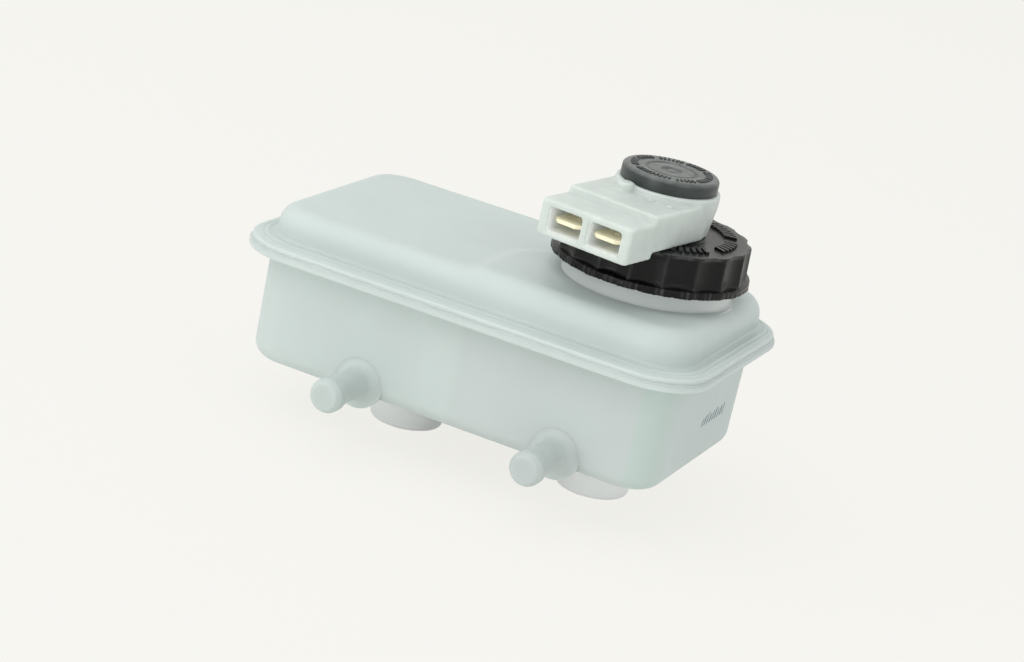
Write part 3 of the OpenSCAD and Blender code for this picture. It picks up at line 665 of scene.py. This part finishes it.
# %% Filler neck
SEAT_R, SEAT_DEPTH, FOOT_FLARE_R, FOOT_SUNK = NECK_BORE_R + 0.8, 0.87, 17.9, 1.2
PLATFORM_Z, FLARE_BELOW, FLARE_END_BELOW = TOP_Z + PLATFORM_RISE, 0.35, 0.05
neck_profile = soften([
    (NECK_BORE_R, TOP_Z - FOOT_SUNK, 0), (FOOT_FLARE_R, TOP_Z - FOOT_SUNK, 0),
    (FOOT_FLARE_R, PLATFORM_Z - FLARE_BELOW, 0), (NECK_R, PLATFORM_Z - FLARE_END_BELOW, 0.9),
    (NECK_R, RIM_Z, 0.35), (SEAT_R, RIM_Z, 0.1),
    (SEAT_R, RIM_Z - SEAT_DEPTH, 0.1), (NECK_BORE_R, RIM_Z - SEAT_DEPTH, 0.1),
], steps=8, closed=True)
neck_grid = turn_profile(neck_profile, CAP_AXIS, 160)
filler_neck = piece_from("filler_neck", [(neck_grid, True, True)], neck_painted_light)
dress(filler_neck, "tank", "tank_plastic")

# %% [markdown]
# ## The weld line
# Hot-plate welding squeezes a little plastic out of the seam, and it fills the step between
# the two flanges. It is never even. The filling is a small section carried round the seam's
# loop, and its height follows a sum of sines with whole numbers of waves, so it closes on
# itself and needs no random numbers.

# %% Weld line
WELD_H, WELD_WAVES, WAVE_SHIFT = 0.4, (5, 11, 23, 41), 1.7
WELD_SUNK, LOWER_EDGE_SHARE = 0.1, 0.12


def weld_ring():
    """Five corners a section: up the upper flange by a sum of sines, then down to the lower."""
    inner, crest, outer = EDGE_OUT - 0.3, EDGE_OUT + 0.06, OVERHANG - 0.12
    offsets = np.array([inner, inner, crest, outer, outer])
    loops = tank_loops(np.stack([offsets, np.full(5, SEAM_Z)], 1))
    count = loops.shape[1]
    turns = np.arange(count) / count * 2 * math.pi
    swell = sum(np.sin(n * turns + WAVE_SHIFT * n) for n in WELD_WAVES) / len(WELD_WAVES)
    height = WELD_H * (1 + 0.5 * swell)
    below = np.full(count, -WELD_SUNK)
    loops[..., 2] += np.stack([below, height, height, height * LOWER_EDGE_SHARE, below])
    return loops


bead = piece_from("weld_bead", [(weld_ring(), True, True)], milky, sharp_deg=60)
dress(bead, "tank", "tank_plastic")

# %% [markdown]
# ## The outlet spigots
# The two outlets press into the master cylinder's grommets, so they are smooth and plain,
# with a generous lead-in at the end. One turned section with its bore makes both.

# %% Spigots
SPIGOT_R, SPIGOT_FLARE, SPIGOT_TOP_Z = 7.65, 0.8, UNDERSIDE_Z + 0.3
spigot_profile = soften([
    (SPIGOT_BORE_R, 0, 0.3), (SPIGOT_R, 0, 0.9), (SPIGOT_R, UNDERSIDE_Z - 0.2, 0.5),
    (SPIGOT_R + SPIGOT_FLARE, SPIGOT_TOP_Z, 0), (SPIGOT_BORE_R, SPIGOT_TOP_Z, 0),
], steps=6, closed=True)
# Painted light: the outlets get the near-white plastic to look brighter than the tank.
spigots = piece_from("outlet_spigots", [
    (turn_profile(spigot_profile, (x, 0), 96), True, True) for x in (0, FAR_X)
], spigot_painted_light)
dress(spigots, "tank", "tank_plastic")

# %% [markdown]
# ## The hose nipples
# The nipples on the front are still closed, as moulded: a flat end, a bulb that holds a
# hose, a thinner neck, and a soft foot where they leave the wall. The section is turned
# upright like every round piece here, and then laid over, which keeps one tool for both.

# %% Hose nipples
NIPPLE_Z, NIPPLE_ROOT_Y, NIPPLE_LEN, NIPPLE_XS = 14.0, -25.3, 14.5, (-0.4, -44.1)
END_R, BULB_R, STEM_R, NIPPLE_FOOT_R, NIPPLE_SUNK = 2.7, 3.5, 3.0, 5.6, 1.0
nipple_profile = soften([
    (0, NIPPLE_LEN, 0), (END_R, NIPPLE_LEN, 0.7), (BULB_R, NIPPLE_LEN - 1.2, 1.0),
    (BULB_R, NIPPLE_LEN - 3.0, 1.6), (STEM_R, NIPPLE_LEN - 5.4, 2.2), (STEM_R, 0.06, 2.2),
    (NIPPLE_FOOT_R, 0.0, 0), (NIPPLE_FOOT_R, -NIPPLE_SUNK, 0), (0, -NIPPLE_SUNK, 0),
], steps=6)


def nipple_grid(x):
    """The upright turned shape laid along -Y from the wall."""
    upright = turn_profile(nipple_profile, (0, 0), 72)
    return np.stack([
        x + upright[..., 0], NIPPLE_ROOT_Y - upright[..., 2], NIPPLE_Z + upright[..., 1],
    ], -1)


nipples = piece_from("hose_nipples", [(nipple_grid(x), False, True) for x in NIPPLE_XS], milky)
dress(nipples, "tank", "tank_plastic")

# %% [markdown]
# ## The cap
# Eighteen hollow flutes meet in sharp ridges, and each ends in a rounded top. The wall is
# one grid round the axis. A point moves in by the depth of a shallow arc between two
# ridges, and the depth fades out near the top, so no cutting is needed.

# %% Flutes
CAP_Z, CAP_TOP_Z, CAP_PLATE_Z = 47.07, 55.17, 53.67
GRIP_R, RING_R, RING_T, CAP_BORE_R, CAP_HOLE_R = 19.05, 20.15, 1.45, 17.3, 8.6
FLUTES, FLUTE_DEPTH, FLUTE_TOP, FIRST_RIDGE = 18, 0.85, 0.45, math.radians(-1.9)
CAP_STEPS = FLUTES * 28
TOP_FADE, RING_FADE, FLUTE_ROUNDING = 1.3, 0.5, 0.5


def flute_phase(turns):
    """0 at a ridge, 0.5 in the middle of a flute, and 1 at the next ridge."""
    return ((turns - FIRST_RIDGE) / (2 * math.pi) * FLUTES) % 1.0


def flute_depths(turns, heights):
    """Depth of the flutes: a shallow arc between ridges, rounded out below the top."""
    across = 1 - (2 * flute_phase(turns) - 1) ** 2
    below_top = (CAP_TOP_Z - FLUTE_TOP - heights) / TOP_FADE
    above_ring = (heights - CAP_Z - RING_T) / RING_FADE
    rounded = np.clip(below_top + across * FLUTE_ROUNDING, 0, 1)
    fade = np.sqrt(np.clip(1 - (1 - rounded) ** 2, 0, 1))
    return FLUTE_DEPTH * across * fade * np.clip(above_ring, 0, 1)


# %% Screw cap
ROUGH_WAVES, ROUGH_R, ROUGH_H, ROUGH_SHIFT = (7, 19, 31, 53, 88, 121), 0.22, 0.16, 11
COLLAR_R, COLLAR_FOOT_R, COLLAR_TOP_Z = 9.8, 10.1, CAP_TOP_Z + 0.2


def cap_grid():
    """The turned cap, with the flutes and a rough foot edge taken off or added to its radius."""
    profile = soften([
        (CAP_BORE_R, CAP_Z, 0.15), (RING_R, CAP_Z, 0.2), (RING_R, CAP_Z + RING_T, 0.25),
        (GRIP_R + 0.25, CAP_Z + RING_T + 0.1, 0.3), (GRIP_R, CAP_TOP_Z, 0.5),
        (COLLAR_FOOT_R, CAP_TOP_Z, 0.15), (COLLAR_R, COLLAR_TOP_Z, 0.1),
        (CAP_HOLE_R, COLLAR_TOP_Z, 0.1), (CAP_HOLE_R, CAP_PLATE_Z, 0.1),
        (CAP_BORE_R, CAP_PLATE_Z, 0.4),
    ], steps=5, reach=0.35, closed=True)
    turns = np.linspace(0, 2 * math.pi, CAP_STEPS, endpoint=False)[None, :]
    radius = np.repeat(profile[:, :1], CAP_STEPS, 1)
    height = np.repeat(profile[:, 1:], CAP_STEPS, 1)
    outer = np.clip((radius - CAP_BORE_R - 0.4) / 0.5, 0, 1)
    radius = radius - outer * flute_depths(turns, height)
    edge = (radius > RING_R - 0.6) & (height < CAP_Z + 0.6)
    rough = sum(np.sin(n * turns + 0.9 * n) for n in ROUGH_WAVES) / len(ROUGH_WAVES)
    radius = radius + edge * ROUGH_R * rough
    height = height + edge * ROUGH_H * np.roll(rough, ROUGH_SHIFT)
    return np.stack([
        CAP_AXIS[0] + radius * np.cos(turns), CAP_AXIS[1] + radius * np.sin(turns), height,
    ], -1)


cap = piece_from("fluted_cap", [(cap_grid(), True, True)], black, sharp_deg=35)

# %% [markdown]
# ## Wear and painted sheen
# The cap's ridges, the rim of its top and the whole top plate get a painted highlight, and a
# bench scuffs its foot. Each point gets one number for that, worked out from where it is on
# the cap, and the shader mixes a paler colour by it, broken up by a fine noise. A noise alone
# would pale the hollows too.

# %% Wear and painted sheen of the cap
RIDGE_SHEEN, RIM_SHEEN, FOOT_WEAR, PLATE_SHEEN = 0.22, 0.5, 0.6, 0.32
RIDGE_SHARE, RIM_MM, RIM_INSET = 0.045, 0.35, 0.6


def wear_and_sheen_of(points):
    """Painted highlights as bell curves at the ridges and the rim, scuffs as waves at the foot,
    painted sheen even on top.
    """
    x, y = points[:, 0] / MM - CAP_AXIS[0], points[:, 1] / MM - CAP_AXIS[1]
    z = points[:, 2] / MM
    turns, radius = np.arctan2(y, x), np.hypot(x, y)
    phase = flute_phase(turns)
    from_ridge = np.minimum(phase, 1 - phase)
    ridge = np.exp(-(from_ridge / RIDGE_SHARE) ** 2) * (radius > CAP_BORE_R + 0.6)
    rim = np.exp(-((radius - GRIP_R + RIM_INSET) / RIM_MM) ** 2) * (z > CAP_TOP_Z - 0.7)
    scuffs = np.clip(np.sin(37 * turns) * np.sin(61 * turns + 1) - 0.3, 0, 1)
    foot = (radius > RING_R - 0.5) * scuffs
    plate = (z > CAP_TOP_Z - 0.02) & (radius < GRIP_R - RIM_INSET)
    return np.clip(
        RIDGE_SHEEN * ridge + RIM_SHEEN * rim + FOOT_WEAR * foot + PLATE_SHEEN * plate, 0, 1
    )


# %% Wear and painted sheen in a finish
def add_wear_and_sheen(material, colour, speck_mm=0.7):
    """Mixes a paler colour, for wear and painted sheen, over a finish by the piece's own attribute,
    broken up by a noise.
    """
    tree = material.node_tree
    shader = tree.nodes["Principled BSDF"]
    plain = shader.inputs["Base Color"].links[0].from_socket
    wear_and_sheen_node = tree.nodes.new("ShaderNodeAttribute")
    wear_and_sheen_node.attribute_name = "wear_and_sheen"
    speck = tree.nodes.new("ShaderNodeTexNoise")
    speck.inputs["Scale"].default_value = 1 / (speck_mm * MM)
    tree.links.new(tree.nodes["Texture Coordinate"].outputs["Object"], speck.inputs["Vector"])
    share = tree.nodes.new("ShaderNodeMath")
    share.operation = "MULTIPLY"
    tree.links.new(wear_and_sheen_node.outputs["Fac"], share.inputs[0])
    tree.links.new(speck.outputs["Fac"], share.inputs[1])
    mix = tree.nodes.new("ShaderNodeMix")
    mix.data_type = "RGBA"
    tree.links.new(share.outputs[0], mix.inputs["Factor"])
    tree.links.new(plain, mix.inputs["A"])
    mix.inputs["B"].default_value = colour
    tree.links.new(mix.outputs["Result"], shader.inputs["Base Color"])


def set_wear_and_sheen(piece, wear_and_sheen):
    """Stores one value of wear and painted sheen a point, worked out from the points' places."""
    places = np.empty(len(piece.data.vertices) * 3)
    piece.data.vertices.foreach_get("co", places)
    values = wear_and_sheen(places.reshape(-1, 3)).astype(np.float32)
    piece.data.attributes.new("wear_and_sheen", "FLOAT", "POINT").data.foreach_set("value", values)


# Painted highlights on the ridges, rim and top plate, and real scuffs at the foot, in one paler
# colour.
set_wear_and_sheen(cap, wear_and_sheen_of)
add_wear_and_sheen(black, tone(112, 114, 112))
dress(cap, "cap", "cap_plastic", "screw_cap")

# %% [markdown]
# ## Raised bars
# The real cap and the real rubber carry raised words. Words are left off this part, and
# rings of plain bars take their place, so the surfaces keep their busy, embossed look. Each
# bar is a small block: one loft of four-cornered loops, turned round the cap's axis.

# %% Raised bars
BAR_SUNK, BAR_BEVEL, BAR_SIDE_SHARE = 0.15, 0.06, 0.6


def bar_ring(name, inner_r, outer_r, base_z, rise, angles, half_width, lean, material):
    """Small blocks from inner_r to outer_r: a loft of four loops that shrinks towards its top."""
    sheets = []
    for angle in angles:
        loops = []
        for grow, z in ((0.0, -BAR_SUNK), (0.0, rise * BAR_SIDE_SHARE), (-BAR_BEVEL, rise),
                        (-0.45 * half_width, rise)):
            half = half_width + grow
            corners = np.array([
                (inner_r - grow, -half + lean), (outer_r + grow, -half - lean),
                (outer_r + grow, half - lean), (inner_r - grow, half + lean),
            ])
            turned = np.stack([
                CAP_AXIS[0] + corners[:, 0] * math.cos(angle) - corners[:, 1] * math.sin(angle),
                CAP_AXIS[1] + corners[:, 0] * math.sin(angle) + corners[:, 1] * math.cos(angle),
                np.full(4, base_z + z),
            ], -1)
            loops.append(turned)
        middle = np.repeat(loops[-1].mean(0)[None], 4, 0)
        foot = np.repeat(loops[0].mean(0)[None], 4, 0)
        sheets.append((np.array([foot] + loops + [middle]), False, True))
    return piece_from(name, sheets, material, sharp_deg=25)


def word_angles(groups, step_deg):
    """Angles of bars in groups (first angle, count), as words stand round a ring."""
    return [math.radians(first + i * step_deg) for first, count in groups for i in range(count)]


CAP_BAR_GROUPS, CAP_BAR_STEP = [
    (-62, 7), (-12, 6), (32, 7), (82, 6), (126, 7), (176, 6), (220, 7), (268, 4),
], 5.4
cap_bars = bar_ring("cap_bars", 13.5, 16.1, CAP_TOP_Z, 0.5,
                    word_angles(CAP_BAR_GROUPS, CAP_BAR_STEP), 0.46, 0.4, black)
dress(cap_bars, "cap", "cap_plastic")

# %% [markdown]
# ## Softened solids
# The housing and the blades already have the right form as solids, but their edges are
# knife sharp. For a stamped blade, a copy of the solid is merged, its flat faces are joined
# again, and a bevel rounds each steep edge. A moulded housing is softer all over, so its
# copy is filled with small voxels and then smoothed, which rounds inside corners too.

# %% Copies of solids
FLAT_DEG, BEVEL_OVER_DEG, SHARP_BEFORE_DEG, SHARP_AFTER_DEG = 0.6, 28, 30, 32


def merged_copy(node, flat_deg=None):
    """Merges a copy of a solid's loose triangles, and joins its flat faces within flat_deg."""
    mesh = nodes[node].data.copy()
    bm = bmesh.new()
    bm.from_mesh(mesh)
    bmesh.ops.remove_doubles(bm, verts=bm.verts, dist=WELD_POINTS_MM * MM)
    if flat_deg:
        bmesh.ops.dissolve_limit(
            bm, angle_limit=math.radians(flat_deg), verts=bm.verts, edges=bm.edges
        )
    bm.to_mesh(mesh)
    bm.free()
    return mesh


def softened_copy(name, node, edge_mm, segments, material):
    """A copy of a solid whose steep edges are rounded by edge_mm."""
    piece = place_piece(name, merged_copy(node, FLAT_DEG), material, SHARP_BEFORE_DEG)
    bevel = piece.modifiers.new("mould_edge", "BEVEL")
    bevel.width = edge_mm * MM
    bevel.segments = segments
    bevel.limit_method = "ANGLE"
    bevel.angle_limit = math.radians(BEVEL_OVER_DEG)
    bevel.use_clamp_overlap = True
    soft = keep_modifiers(piece)
    soft.shade_smooth()
    soft.set_sharp_from_angle(angle=math.radians(SHARP_AFTER_DEG))
    return piece


def melted_copy(name, node, voxel_mm, rounds, material):
    """Fills a solid with small voxels, then moves each point towards its neighbours' mean."""
    piece = place_piece(name, merged_copy(node), material)
    voxels = piece.modifiers.new("voxels", "REMESH")
    voxels.mode = "VOXEL"
    voxels.voxel_size = voxel_mm * MM
    smooth = piece.modifiers.new("mould_edge", "SMOOTH")
    smooth.factor, smooth.iterations = 0.5, rounds
    soft = keep_modifiers(piece)
    soft.shade_smooth()
    if not soft.materials:
        soft.materials.append(material)
    return piece


# %% [markdown]
# ## The connector housing
# Its sockets are lit through their thin walls, so their inner faces look paler than the
# outside. Those faces get a second, paler material as painted light. Each face's centre is
# turned into the connector's own frame, where a socket is a plain box, and the faces inside
# are picked.

# %% Connector housing
CONNECTOR_TURN, CONNECTOR_REACH = math.radians(8.7), 30.0
SOCKET_PITCH, SOCKET_W, SOCKET_LOW, SOCKET_HIGH, SOCKET_DEPTH = 8.9, 7.4, 55.52, 60.32, 9.0
PICK_SPARE, PAINTED_LIGHT_FROM, PAINTED_LIGHT_PAST = 0.12, 0.35, 0.3


def in_socket(centres):
    """True where a face's centre, turned by the connector's angle, lies in a socket's box."""
    x, y = centres[:, 0] / MM - CAP_AXIS[0], centres[:, 1] / MM - CAP_AXIS[1]
    across = x * math.cos(CONNECTOR_TURN) - y * math.sin(CONNECTOR_TURN)
    ahead = x * math.sin(CONNECTOR_TURN) + y * math.cos(CONNECTOR_TURN)
    height = centres[:, 2] / MM
    side = np.abs(np.abs(across) - SOCKET_PITCH / 2) < SOCKET_W / 2 + PICK_SPARE
    level = (height > SOCKET_LOW - PICK_SPARE) & (height < SOCKET_HIGH + PICK_SPARE)
    mouth, floor = -CONNECTOR_REACH + PAINTED_LIGHT_FROM, -CONNECTOR_REACH + SOCKET_DEPTH + PAINTED_LIGHT_PAST
    return side & level & (ahead > mouth) & (ahead < floor)


VOXEL_MM, SMOOTHING_ROUNDS = 0.3, 10
housing = melted_copy("connector_housing", "switch_housing", VOXEL_MM, SMOOTHING_ROUNDS, natural)
# Painted light: the sockets' inner faces get the paler material.
housing.data.materials.append(socket_painted_light)
centres = np.empty(len(housing.data.polygons) * 3)
housing.data.polygons.foreach_get("center", centres)
painted_light_faces = in_socket(centres.reshape(-1, 3)).astype(np.int32)
housing.data.polygons.foreach_set("material_index", painted_light_faces)
print("faces inside the sockets:", int(painted_light_faces.sum()))
dress(housing, "switch_unit", "housing_plastic", "switch_housing")

# %% [markdown]
# ## Gate marks and blades
# Two low round bumps on the arm are where the plastic entered the mould. The blades are
# stamped brass, so only a fine edge is broken on them.

# %% Gate marks and blades
GATE_MARKS, ARM_TOP_Z = ((1.3, -7.8), (5.5, -8.3)), 63.07
MARK_SECTION = np.array([(0.85, -0.1), (0.8, 0.12), (0.55, 0.3), (0, 0.38)])
mark_profile = MARK_SECTION + np.array([0, ARM_TOP_Z])
marks = piece_from("gate_marks", [
    (turn_profile(mark_profile, place, 24), False, True) for place in GATE_MARKS
], natural)
dress(marks, "switch_unit", "housing_plastic")
BLADE_EDGE_MM, BLADE_SEGMENTS = 0.08, 2
for side in ("left", "right"):
    blade = softened_copy(f"blade_{side}", f"terminal_{side}", BLADE_EDGE_MM, BLADE_SEGMENTS, brass_painted_light)
    dress(blade, "switch_unit", "blade_brass", f"terminal_{side}")

# %% [markdown]
# ## The rubber cover
# It is a low, soft-edged button. Pressing it pushes the plunger below, so it squashes
# towards the drum while its foot stays put. Its face has a sunk ring, a shallow dish and a
# dimple, all in one turned profile.

# %% Rubber cover
DRUM_TOP_Z, COVER_R, COVER_H, COVER_BORE_R, COVER_SKIN = 64.27, 9.8, 2.9, 8.0, 1.0
COVER_TOP_Z = DRUM_TOP_Z + COVER_H
cover_profile = soften([
    (COVER_BORE_R, DRUM_TOP_Z, 0.1), (COVER_R, DRUM_TOP_Z, 0.15), (COVER_R, COVER_TOP_Z, 0.85),
    (5.5, COVER_TOP_Z - 0.05, 0.1), (5.2, COVER_TOP_Z - 0.35, 0.1),
    (4.9, COVER_TOP_Z - 0.35, 0.1), (4.5, COVER_TOP_Z - 0.1, 0.1),
    (2.3, COVER_TOP_Z - 0.1, 0.1), (1.9, COVER_TOP_Z - 0.4, 0.15),
    (1.1, COVER_TOP_Z - 0.4, 0.1), (0.8, COVER_TOP_Z - 0.2, 0.1), (0, COVER_TOP_Z - 0.2, 0),
], steps=5)
under_profile = soften([
    (0, COVER_TOP_Z - COVER_SKIN, 0), (COVER_BORE_R, COVER_TOP_Z - COVER_SKIN, 0.4),
    (COVER_BORE_R, DRUM_TOP_Z, 0),
], steps=5)
cover_grid = turn_profile(np.vstack([under_profile, cover_profile[1:]]), CAP_AXIS, 160)
cover = piece_from("button_cover", [(cover_grid, False, True)], grey_rubber)

# %% [markdown]
# ## The cover's painted sheen and bars
# The cover's face is painted paler from the side to the top, as a painted sheen on the face
# that looks up. The ring of bars stands in for words here too. Cover and bars each get a mesh
# of their own.

# %% Painted sheen, bars and meshes of their own
SHEEN_FROM_MM, SHEEN_OVER_MM = 0.9, 0.8
# Painted sheen: the cover's colour gets paler from the side up to its top face.
set_wear_and_sheen(cover, lambda points: np.clip(
    (points[:, 2] / MM - COVER_TOP_Z + SHEEN_FROM_MM) / SHEEN_OVER_MM, 0, 1
))
add_wear_and_sheen(grey_rubber, tone(122, 127, 125), 2.0)
dress(cover, "switch_unit", "cover_rubber", "rubber_cover")
COVER_BAR_GROUPS, COVER_BAR_STEP = [
    (-60, 5), (-22, 4), (10, 6), (58, 5), (96, 6), (144, 5), (184, 6), (234, 5), (268, 4),
], 6.6
cover_bars = bar_ring("cover_bars", 6.9, 8.3, COVER_TOP_Z, 0.2,
                      word_angles(COVER_BAR_GROUPS, COVER_BAR_STEP), 0.24, 0.08, grey_rubber)
dress(cover_bars, "switch_unit", "cover_rubber")
for piece in (cover, cover_bars):
    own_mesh(piece)

# %% [markdown]
# ## The print on the end wall
# The photograph shows a row of blue ink marks. Real marks would be a code, so plain slanted
# strokes stand in for them. They are thin raised slips on the wall, because an image
# texture is not used here.

# %% Ink strokes
ink = finish("blue_ink", tone(84, 116, 132), 0.5, mottle=0.2, mottle_size=0.8)
STROKES, STROKE_Y, STROKE_PITCH, STROKE_Z, STROKE_SLANT = 9, -0.7, 1.45, 20.1, 0.8
STROKE_SUNK, STROKE_T = 0.05, 0.09


def stroke_sheet(y, z, length, half_width, slant):
    """One slip: a thin box on the end wall, slanted along the wall."""
    x = END_X - DRAFT * (FLANGE_Z - z) / (FLANGE_Z - UNDERSIDE_Z)
    corners = [
        (y - half_width, z), (y + half_width, z),
        (y + half_width + slant, z + length), (y - half_width + slant, z + length),
    ]
    back = np.array([(x - STROKE_SUNK, a, b) for a, b in corners])
    front = back + np.array([STROKE_T, 0, 0])
    ends = [np.repeat(face.mean(0)[None], 4, 0) for face in (back, front)]
    return np.array([ends[0], back, front, ends[1]])


strokes = piece_from("ink_strokes", [
    (stroke_sheet(STROKE_Y + STROKE_PITCH * i, STROKE_Z, 1.7 + 0.3 * (i % 3),
                  0.15 + 0.07 * (i % 2), STROKE_SLANT), False, True)
    for i in range(STROKES)
], ink)
dress(strokes, "tank", "tank_plastic")

# %% [markdown]
# ## Closing
# The plain Standard view shows each colour as it was chosen.

bpy.context.scene.view_settings.view_transform = "Standard"
